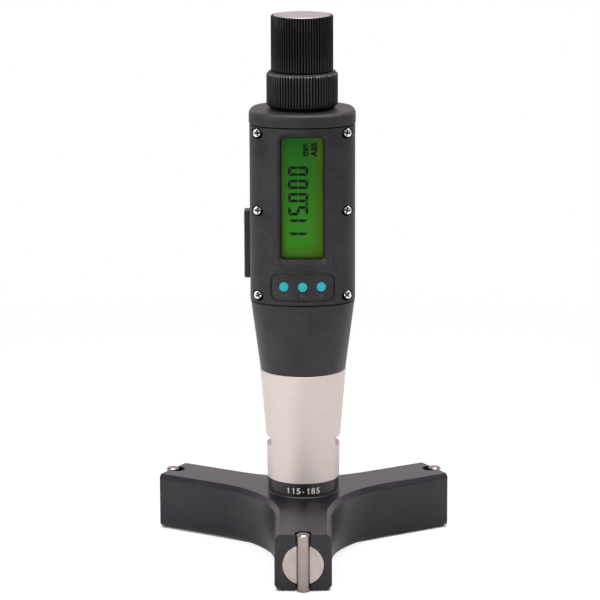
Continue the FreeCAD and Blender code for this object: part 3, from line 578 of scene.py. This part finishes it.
def spunBlank(name, profile, steps, look):
    # closed ring section turned round Z; profile runs round the section with its inside on the left
    points = []
    for step in range(steps):
        angle = 2 * math.pi * step / steps
        points += [(r * math.cos(angle), r * math.sin(angle), z) for r, z in profile]
    count = len(profile)
    faces = []
    for step in range(steps):
        here = step * count
        there = (step + 1) % steps * count
        for index in range(count):
            after = (index + 1) % count
            faces.append((here + index, there + index, there + after, here + after))
    return newPiece(name, points, faces, look)


def openTree(name, inputs):
    # a geometry tree's board with named inputs, and those inputs as signals
    tree = bpy.data.node_groups.new(name, "GeometryNodeTree")
    for label, kind in (("Geometry", "Geometry"), *inputs, ("Finish", "Material")):
        tree.interface.new_socket(label, in_out="INPUT", socket_type="NodeSocket" + kind)
    tree.interface.new_socket("Geometry", in_out="OUTPUT", socket_type="NodeSocketGeometry")
    entry = tree.nodes.new("NodeGroupInput")
    return Board(tree), {socket.name: Signal(tree, socket) for socket in entry.outputs}


def closeTree(board, geometry, finish):
    # the tree ends in real geometry that wears its finish
    real = board.add("GeometryNodeRealizeInstances", {}, {"Geometry": geometry})
    dressing = board.add("GeometryNodeSetMaterial", {}, {"Geometry": real, "Material": finish})
    leave = board.tree.nodes.new("NodeGroupOutput")
    plug(board.tree, leave.inputs["Geometry"], dressing)
    return board.tree


def ridgeTree():
    # draws every place between two crests in towards the axis, never out past the blank
    inputs = [(name, "Float") for name in ("Ridge Count", "Crest Radius", "Ridge Depth", "Crest Flat")]
    board, given = openTree("knurlRidges", inputs)
    x, y, z = board.split(board.add("GeometryNodeInputPosition", {}, {}))
    reach = distance(x, y)
    wave = board.ridgeWave(x, y, given["Ridge Count"])
    tooth = board.smaller((1 - wave) * given["Crest Flat"], 1.0)
    limit = given["Crest Radius"] - given["Ridge Depth"] * (1 - tooth)
    share = board.smaller(limit, reach) / reach
    place = board.add("ShaderNodeCombineXYZ", {}, {"X": x * share, "Y": y * share, "Z": z})
    cut = board.add("GeometryNodeSetPosition", {}, {"Geometry": given["Geometry"], "Position": place})
    return closeTree(board, cut, given["Finish"])


def feed(piece, tree, values):
    # adds the tree to the piece and fills its inputs by their identifiers
    modifier = piece.modifiers.new(tree.name, "NODES")
    modifier.node_group = tree
    for socket in tree.interface.items_tree:
        if socket.item_type == "SOCKET" and socket.in_out == "INPUT" and socket.name in values:
            modifier[socket.identifier] = values[socket.name]
    settle(piece)


def barrelProfile(sizes, low, high, inside):
    # up the outside with closely set rings over the chamfers, then down the inside
    radius = sizes["radius"]
    bottom, top = sizes["lowChamfer"], sizes["highChamfer"]
    rings = sizes["chamferRings"]
    profile = []
    for ring in range(rings):
        share = ring / (rings - 1)
        profile.append((radius - bottom * (1 - share), low + bottom * share))
    for ring in range(1, sizes["bodyRings"]):
        share = ring / sizes["bodyRings"]
        profile.append((radius, low + bottom + (high - top - low - bottom) * share))
    for ring in range(rings):
        share = ring / (rings - 1)
        profile.append((radius - top * share, high - top * (1 - share)))
    return profile + inside


def thimbleInside(low, high, stemTop):
    # the stem over the top plate, the bore through the hub, and the hollow under the skirt
    h = {name: size * mm for name, size in thimbleHollow.items()}
    under = high - h["plate"]
    return [
        (h["stemRadius"], high), (h["stemRadius"], stemTop), (h["screwBore"], stemTop), (h["screwBore"], under),
        (h["shaftBore"], under), (h["shaftBore"], low), (h["hub"], low), (h["hub"], under), (h["skirt"], under),
        (h["skirt"], low)]


def knobInside(low, high, stemTop):
    # the cap's seat, the clutch chamber and the bore round the stem
    h = {name: size * mm for name, size in knobHollow.items()}
    return [
        (h["seatRadius"], high), (h["seatRadius"], high - h["seatDepth"]), (h["chamber"], high - h["seatDepth"]),
        (h["chamber"], low + h["floor"]), (h["bore"], low + h["floor"]), (h["bore"], low)]


ridgeCutter = ridgeTree()
for node, inside in (("drive_thimble", thimbleInside), ("ratchet_knob", knobInside)):
    sizes = barrelSizes[node]
    bottom, top = (corner.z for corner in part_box(node))
    rim = top - sizes["stem"]
    steps = sizes["ridges"] * sizes["stepsPerRidge"]
    profile = barrelProfile(sizes, bottom, rim, inside(bottom, rim, top))
    barrel = spunBlank(node + "_knurled", profile, steps, finishOf(node))
    feed(barrel, ridgeCutter, {
        "Ridge Count": float(sizes["ridges"]), "Crest Radius": sizes["radius"], "Ridge Depth": sizes["depth"],
        "Crest Flat": sizes["crestFlat"], "Finish": finishOf(node)})
    smooth(barrel.data, 40)
    hand(barrel, bodyOfNode[node], slotOfNode[node], node)
print("knurled barrels cut")


# cover screws: one pan head with a cross recess, set on its seats by a node tree

screwSizes = {
    "headRadius": 1.5 * mm, "headHeight": 1.2 * mm, "edgeRound": 0.45 * mm, "dome": 0.12 * mm,
    "shankRadius": 0.8 * mm, "shankLength": 3.0 * mm, "steps": 48,
    "crossLength": 2.0 * mm, "crossWidth": 0.56 * mm, "crossDepth": 0.8 * mm,
    "seat": -9.5 * mm, "mostTurn": math.pi / 2, "seed": 7,
}


def lathe(name, outline, steps):
    # outline from the axis to the axis, turned round Z into a closed solid
    points = [(0, 0, outline[0][1])]
    rings = outline[1:-1]
    turns = [2 * math.pi * s / steps for s in range(steps)]
    for r, z in rings:
        points += [(r * math.cos(turn), r * math.sin(turn), z) for turn in turns]
    points.append((0, 0, outline[-1][1]))
    last = len(points) - 1
    faces = []
    for s in range(steps):
        after = (s + 1) % steps
        faces.append((0, 1 + after, 1 + s))
        for ring in range(len(rings) - 1):
            base = 1 + ring * steps
            faces.append((base + s, base + after, base + steps + after, base + steps + s))
        top = 1 + (len(rings) - 1) * steps
        faces.append((top + s, top + after, last))
    return newPiece(name, points, faces)


def crossTool(sizes):
    # tapered cross, deeper in its middle, standing over the head
    top = sizes["headHeight"] + sizes["dome"] + 0.3 * mm
    bottom = sizes["headHeight"] - sizes["crossDepth"]
    w, reach = sizes["crossWidth"] / 2, sizes["crossLength"] / 2
    points = []
    for spread, inner, z in ((0.45, 0.8, bottom), (1.0, 1.0, sizes["headHeight"] * 0.9), (1.08, 1.1, top)):
        for quarter in range(4):
            c, s = math.cos(math.pi / 2 * quarter), math.sin(math.pi / 2 * quarter)
            for px, py in ((w * inner, -w * inner), (reach * spread, -w * inner), (reach * spread, w * inner)):
                points.append((px * c - py * s, px * s + py * c, z))
    faces = [tuple(reversed(range(12))), tuple(range(24, 36))]
    for level in (0, 12):
        for index in range(12):
            after = (index + 1) % 12
            faces.append((level + index, level + after, level + 12 + after, level + 12 + index))
    return newPiece("crossTool", points, faces)


def screwBlank(sizes):
    # shank, pan head with a rounded edge and a slight dome, and the cross cut out of it
    r, h, e = sizes["headRadius"], sizes["headHeight"], sizes["edgeRound"]
    outline = [(0, -sizes["shankLength"]), (sizes["shankRadius"] * 0.7, -sizes["shankLength"])]
    outline += [(sizes["shankRadius"], -sizes["shankLength"] + 0.3 * mm), (sizes["shankRadius"], 0)]
    outline += [(r - 0.08 * mm, 0), (r, 0.08 * mm)]
    for step in range(7):
        turn = math.pi / 2 * step / 6
        outline.append((r - e + e * math.cos(turn), h - e + e * math.sin(turn)))
    outline += [((r - e) * 0.5, h + sizes["dome"] * 0.75), (0, h + sizes["dome"])]
    blank = lathe("screwBlank", outline, sizes["steps"])
    tool = crossTool(sizes)
    cut = blank.modifiers.new("recess", "BOOLEAN")
    cut.operation = "DIFFERENCE"
    cut.solver = "EXACT"
    cut.object = tool
    settle(blank)
    bpy.data.objects.remove(tool)
    smooth(blank.data)
    return blank


def scatterTree(seed):
    # one screw on each seat, turned by a seeded random angle
    board, given = openTree("coverScrews", [("Screw", "Object"), ("Most Turn", "Float")])
    screw = board.add("GeometryNodeObjectInfo", {}, {"Object": given["Screw"]}, "Geometry")
    spin = board.add(
        "FunctionNodeRandomValue", {"data_type": "FLOAT"}, {2: 0.0, 3: given["Most Turn"], "Seed": seed}, 1)
    lay = board.add("ShaderNodeCombineXYZ", {}, {"X": math.pi / 2, "Y": spin, "Z": 0.0})
    turn = board.add("FunctionNodeEulerToRotation", {}, {"Euler": lay})
    placed = board.add(
        "GeometryNodeInstanceOnPoints", {}, {"Points": given["Geometry"], "Instance": screw, "Rotation": turn})
    return closeTree(board, placed, given["Finish"])


blank = screwBlank(screwSizes)
seats = [(x, screwSizes["seat"], z) for z in coverScrewLevels for x in (-coverScrewX, coverScrewX)]
screws = newPiece("cover_screw_heads", seats, [])
feed(screws, scatterTree(screwSizes["seed"]), {
    "Screw": blank, "Most Turn": screwSizes["mostTurn"], "Finish": finishes["bright_screw"]})
bpy.data.objects.remove(blank)
smooth(screws.data)
hand(screws, "head", "bright_screw", "cover_screws")
print("cover screws set:", len(seats))


# the reading: seven-segment figures standing on the display cell, read upwards

readingSizes = {  # in millimetres
    "figures": "115.000", "first": 113.8, "pitch": 4.63, "width": 3.3, "height": 6.9, "stroke": 1.0, "gap": 0.17,
    "top": -4.92, "plane": -12.5, "thick": 0.06, "pointSize": 0.85,
}
segmentsOf = {"0": "abcdef", "1": "bc", "5": "afgcd"}
blackInk = material("cellInk", printedInk, colour=(0.001, 0.003, 0.002), rough=0.4)
creamInk = material("creamInk", printedInk, colour=(0.66, 0.63, 0.58), rough=0.5)
greyInk = material("greyInk", printedInk, colour=(0.060, 0.057, 0.063), rough=0.5)


def segmentOutlines(w, h, s, g):
    # mitred bars of one figure in a w by h cell, origin at its lower left corner
    half = h / 2
    across = [(g, 0), (w - g, 0), (w - s - g, s), (s + g, s)]
    bars = {"d": across, "a": [(x, h - y) for x, y in reversed(across)]}
    bars["g"] = [
        (g + s / 2, half), (s + g, half - s / 2), (w - s - g, half - s / 2), (w - g - s / 2, half),
        (w - s - g, half + s / 2), (s + g, half + s / 2)]
    upright = [(w, g), (w, half - g / 2), (w - s / 2, half - g / 2), (w - s, half - s * 0.28 - g / 2), (w - s, s + g)]
    bars["c"] = upright
    bars["b"] = [(x, h - y) for x, y in reversed(upright)]
    bars["e"] = [(w - x, y) for x, y in reversed(upright)]
    bars["f"] = [(w - x, h - y) for x, y in upright]
    return bars


def slab(outlines, lay, thick):
    # thin plates with the given outlines, laid by a function of the flat place and the height
    points, faces = [], []
    for outline in outlines:
        base, count = len(points), len(outline)
        points += [lay(x, y, 0.0) for x, y in outline] + [lay(x, y, thick) for x, y in outline]
        faces.append(tuple(base + i for i in reversed(range(count))))
        faces.append(tuple(base + count + i for i in range(count)))
        for i in range(count):
            after = (i + 1) % count
            faces.append((base + i, base + after, base + count + after, base + count + i))
    return points, faces


def readingPiece(sizes):
    # the figures one after another, the point in the gap between two of them
    outlines = []
    start = sizes["first"] - sizes["width"] / 2
    bars = segmentOutlines(sizes["width"], sizes["height"], sizes["stroke"], sizes["gap"])
    for figure in sizes["figures"]:
        if figure == ".":
            p = sizes["pointSize"]
            left = start - (sizes["pitch"] - sizes["width"]) / 2 - p / 2
            outlines.append([(left, 0), (left + p, 0), (left + p, p), (left, p)])
            continue
        for letter in segmentsOf[figure]:
            outlines.append([(start + x, y) for x, y in bars[letter]])
        start += sizes["pitch"]
    foot = sizes["top"] + sizes["height"]

    def lay(x, y, rise):
        # along the reading is up, the figures' tops point left, and they face the front
        return ((foot - y) * mm, (sizes["plane"] - rise) * mm, x * mm)

    return newPiece("reading_figures", *slab(outlines, lay, sizes["thick"]), blackInk)


reading = readingPiece(readingSizes)
hand(reading, "head", "green_display")


def lettering(name, text, look, thick, bolder):
    # flat text, centred on its own middle, as a thin solid mesh; it is stretched to its place later
    curve = bpy.data.curves.new(name, "FONT")
    curve.body = text
    curve.size = 3 * mm
    curve.extrude = thick / 2
    curve.offset = bolder
    curve.resolution_u = 4
    curve.align_x = "CENTER"
    source = bpy.data.objects.new(name + "Source", curve)
    bpy.context.scene.collection.objects.link(source)
    mesh = bpy.data.meshes.new_from_object(source.evaluated_get(bpy.context.evaluated_depsgraph_get()))
    bpy.data.objects.remove(source)
    work = bmesh.new()
    work.from_mesh(mesh)
    bmesh.ops.remove_doubles(work, verts=work.verts, dist=0.0005 * mm)
    work.to_mesh(mesh)
    work.free()
    low = Vector([min(v.co[i] for v in mesh.vertices) for i in range(3)])
    high = Vector([max(v.co[i] for v in mesh.vertices) for i in range(3)])
    mesh.transform(Matrix.Translation(-(low + high) / 2))
    mesh.materials.clear()
    mesh.materials.append(look)
    piece = bpy.data.objects.new(name, mesh)
    bpy.context.scene.collection.objects.link(piece)
    return piece, high - low


wordSizes = {"thick": 0.05 * mm, "bolder": 0.13 * mm, "plane": -12.525 * mm}
wordPlaces = {  # in millimetres, from edge to edge
    "unit": {"text": "mm", "x": (0.26, 2.13), "z": (142.2, 146.6)},
    "mode": {"text": "ABS", "x": (2.94, 5.18), "z": (141.9, 147.0)},
}
for name, place in wordPlaces.items():
    word, extent = lettering(name + "_word", place["text"], blackInk, wordSizes["thick"], wordSizes["bolder"])
    along = (place["z"][1] - place["z"][0]) * mm / extent.x
    tall = (place["x"][1] - place["x"][0]) * mm / extent.y
    word.data.transform(Matrix.Diagonal((along, tall, 1, 1)))
    middleX, middleZ = sum(place["x"]) / 2 * mm, sum(place["z"]) / 2 * mm
    stand = ((0, -1, 0, middleX), (0, 0, -1, wordSizes["plane"]), (1, 0, 0, middleZ), (0, 0, 0, 1))
    word.data.transform(Matrix(stand))
    hand(word, "head", "green_display")
print("reading and words set")


# range figures printed round the collar, each at its own place along the arc

rangeSizes = {
    "figures": (("1", -5.39), ("1", -3.46), ("5", -1.72), ("-", -0.08), ("1", 1.86), ("8", 3.50), ("5", 5.30)),
    "radius": 12.55 * mm, "height": 2.15 * mm, "width": 1.34 * mm, "middle": 22.4 * mm, "thick": 0.05 * mm,
    "bolder": 0.02 * mm,
}
plainFigures = {  # outlines for a height of 1, about the middle
    "1": [
        (0.07, -0.5), (0.07, 0.5), (-0.03, 0.5), (-0.09, 0.37), (-0.24, 0.28), (-0.24, 0.17), (-0.08, 0.23),
        (-0.08, -0.5)],
    "-": [(-0.14, -0.23), (0.14, -0.23), (0.14, -0.10), (-0.14, -0.10)],
}


def rangePiece(sizes):
    # each figure is drawn flat, then bent round the collar
    points, faces = [], []
    for figure, along in sizes["figures"]:
        if figure in plainFigures:
            outline = [(x * sizes["height"], y * sizes["height"]) for x, y in reversed(plainFigures[figure])]
            flat, sides = slab([outline], lambda x, y, rise: (x, y, rise), sizes["thick"])
        else:
            source, extent = lettering("figure", figure, creamInk, sizes["thick"], sizes["bolder"])
            wide, tall = sizes["width"] / extent.x, sizes["height"] / extent.y
            flat = [(v.co.x * wide, v.co.y * tall, v.co.z + sizes["thick"] / 2) for v in source.data.vertices]
            sides = [tuple(face.vertices) for face in source.data.polygons]
            bpy.data.objects.remove(source)
        faces += [tuple(index + len(points) for index in side) for side in sides]
        for x, y, rise in flat:
            reach = sizes["radius"] + rise - sizes["thick"] * 0.3
            turn = (along * mm + x) / sizes["radius"]
            points.append((reach * math.sin(turn), -reach * math.cos(turn), sizes["middle"] + y))
    return newPiece("range_figures", points, faces, creamInk)


hand(rangePiece(rangeSizes), "head", "black_anodised")


# small plain marks under the keys, printed on the key panel

markSizes = {"height": 93.6 * mm, "thick": 0.03 * mm, "places": (-6.46 * mm, 0.0, 6.5 * mm)}
dotTurns = [math.pi / 8 * k for k in range(16)]
markShapes = {  # flat outlines in millimetres, plain signs only
    "left": [[(-1.1, -0.12), (1.1, -0.12), (1.1, 0.12), (-1.1, 0.12)]],
    "middle": [[(-0.9, -0.4), (-0.1, -0.4), (-0.1, 0.4), (-0.9, 0.4)], [(0.2, -0.4), (1.0, 0.0), (0.2, 0.4)]],
    "right": [[(0.5 * math.cos(turn), 0.5 * math.sin(turn)) for turn in dotTurns]],
}


def onSurface(node, x, z):
    # where a line from the front first meets the dressed node
    return shown[node].ray_cast(Vector((x, -0.1, z)), Vector((0, 1, 0)))[1:3]


up = Vector((0, 0, 1))
for (name, outlines), x in zip(markShapes.items(), markSizes["places"]):
    place, normal = onSurface("front_cover", x, markSizes["height"])
    right = up.cross(normal).normalized()

    def lay(u, v, rise):
        return place + right * (u * mm) + up * (v * mm) + normal * rise

    mark = newPiece(name + "_key_mark", *slab(outlines, lay, markSizes["thick"]), greyInk)
    hand(mark, "head", "housing_plastic")
print("range figures and key marks set")


# floor, room, lamps and camera

stageSizes = {
    "half": 3.0, "level": -0.4 * mm,
    "nearGlow": 0.85, "glossGlow": 0.22, "near": 0.12, "far": 0.45,  # how white the floor looks close by and in gloss
    # painted shade: a dark sheet the floor shows in gloss beside the arms
    "shade": 0.40, "shadeStart": 0.035, "shadeEnd": 0.11,  # how dark it looks in gloss beside the arms
    "armHalf": 9.6 * mm, "armEnd": 56.5 * mm, "soft": 0.5 * mm,  # no glow under the arms
}
floorLook = {"colour": (0.90, 0.90, 0.90), "outer": (0.5, 0.5, 0.5)}


def paleFloor(board, colour, outer, sizes):
    # pale matt board, white to the camera; near the object it keeps the shadow and shows painted shade in gloss,
    # further off it is greyer in gloss
    spot = board.spot()
    x, y, z = board.split(spot)
    reach = distance(x, y)
    away = board.fade(reach, sizes["near"], sizes["far"])
    cloud = board.noise(spot, 30 * mm, 3.0)
    tone = board.mix(away, board.mix(cloud * 0.5, colour, tuple(c * 0.97 for c in colour)), outer)
    camera, gloss, through = (
        board.add("ShaderNodeLightPath", {}, {}, "Is %s Ray" % kind) for kind in ("Camera", "Glossy", "Transmission"))
    under = 0
    for angle in armAngles.values():
        alongX, alongY = math.cos(math.radians(angle)), math.sin(math.radians(angle))
        along = x * alongX + y * alongY
        inWidth = board.fade(abs(y * alongX - x * alongY), sizes["armHalf"], sizes["armHalf"] - sizes["soft"])
        inLength = board.fade(along, sizes["armEnd"], sizes["armEnd"] - sizes["soft"]) * board.fade(along, 0.0, mm)
        under = under + inWidth * inLength
    glow = (sizes["nearGlow"] + away * (1 - sizes["nearGlow"])) * (1 - board.smaller(under, 1.0))
    seen = (camera + through) * glow + gloss * (1 - away) * sizes["glossGlow"]
    # painted shade: the floor turns dark in gloss close beside the object
    shade = gloss * board.fade(reach, sizes["shadeEnd"], sizes["shadeStart"]) * sizes["shade"]
    matt = board.add("ShaderNodeBsdfDiffuse", {}, {"Color": tone})
    white = board.add("ShaderNodeEmission", {}, {"Color": (1, 1, 1, 1), "Strength": 1.0})
    dark = board.add("ShaderNodeEmission", {}, {"Color": (0, 0, 0, 1), "Strength": 1.0})
    lit = board.add("ShaderNodeMixShader", {}, {0: seen, 1: matt, 2: white})
    return board.add("ShaderNodeMixShader", {}, {0: shade, 1: lit, 2: dark})


half, level = stageSizes["half"], stageSizes["level"]
corners = [(-half, -half, level), (half, -half, level), (half, half, level), (-half, half, level)]
floor = newPiece("floor", corners, [(0, 1, 2, 3)], material("paleFloor", paleFloor, sizes=stageSizes, **floorLook))

# the room is brighter and rosier behind the object than in front of it, dimmer to its right, white to the camera
roomSizes = {"front": 0.39, "behind": 0.46, "right": -0.10, "above": 0.1, "rose": (1.0, 0.89, 0.95)}
world = bpy.data.worlds.new("softRoom")
world.use_nodes = True
world.node_tree.nodes.clear()
board = Board(world.node_tree)
cameraRay = board.add("ShaderNodeLightPath", {}, {}, "Is Camera Ray")
throughRay = board.add("ShaderNodeLightPath", {}, {}, "Is Transmission Ray")
sightX, sightY, sightZ = board.split(board.add("ShaderNodeTexCoord", {}, {}, "Generated"))
behind = board.fade(sightY, -0.2, 0.7)
toRight = board.fade(sightX, 0.0, 0.7) * (1 - behind)
above = board.fade(sightZ, 0.2, 0.9)
roomLevel = roomSizes["front"] + behind * roomSizes["behind"]
roomLevel = roomLevel + toRight * roomSizes["right"] + above * roomSizes["above"]
roomTone = board.mix(behind, (1, 1, 1), roomSizes["rose"])
roomLight = board.add("ShaderNodeBackground", {}, {"Color": roomTone, "Strength": roomLevel})
whiteBack = board.add("ShaderNodeBackground", {}, {"Color": (1, 1, 1, 1), "Strength": 1.0})
seen = board.smaller(cameraRay + throughRay, 1.0)
sky = board.add("ShaderNodeMixShader", {}, {0: seen, 1: roomLight, 2: whiteBack})
worldOut = world.node_tree.nodes.new("ShaderNodeOutputWorld")
plug(world.node_tree, worldOut.inputs["Surface"], sky)
bpy.context.scene.world = world

lampSizes = {
    "overhead": {"place": (0.05, -0.10, 1.10), "size": (1.0, 0.8), "power": 16.0},
    "frontLeft": {"place": (-0.95, -0.85, 0.65), "size": (0.5, 0.9), "power": 7.0},
    "frontRight": {"place": (0.95, -0.75, 0.55), "size": (0.13, 0.8), "power": 1.0},
}
lampAim = Vector((0, 0, 0.09))
for name, sizes in lampSizes.items():
    lamp = bpy.data.lights.new(name, "AREA")
    lamp.shape = "RECTANGLE"
    lamp.size, lamp.size_y = sizes["size"]
    lamp.energy = sizes["power"]
    lampPiece = bpy.data.objects.new(name, lamp)
    lampPiece.location = sizes["place"]
    lampPiece.rotation_euler = (lampAim - Vector(sizes["place"])).to_track_quat("-Z", "Y").to_euler()
    bpy.context.scene.collection.objects.link(lampPiece)

cameraSizes = {
    "place": (-1.0 * mm, -1015.9 * mm, 317.3 * mm), "round": math.radians(0.25), "tilt": math.radians(90 - 12.681),
    "roll": math.radians(-0.2), "lens": 177.7, "sensor": 36.0, "clip": (0.05, 20),
}
eye = bpy.data.cameras.new("camera")
eye.lens = cameraSizes["lens"]
eye.sensor_width = cameraSizes["sensor"]
eye.sensor_fit = "AUTO"
eye.clip_start, eye.clip_end = cameraSizes["clip"]
eyePiece = bpy.data.objects.new("camera", eye)
stance = Matrix.Rotation(cameraSizes["round"], 4, "Z") @ Matrix.Translation(cameraSizes["place"])
stance = stance @ Matrix.Rotation(cameraSizes["tilt"], 4, "X") @ Matrix.Rotation(cameraSizes["roll"], 4, "Z")
eyePiece.matrix_world = stance
bpy.context.scene.collection.objects.link(eyePiece)
bpy.context.scene.camera = eyePiece
bpy.context.scene.view_settings.view_transform = "Standard"
print("stage, lights and camera set")
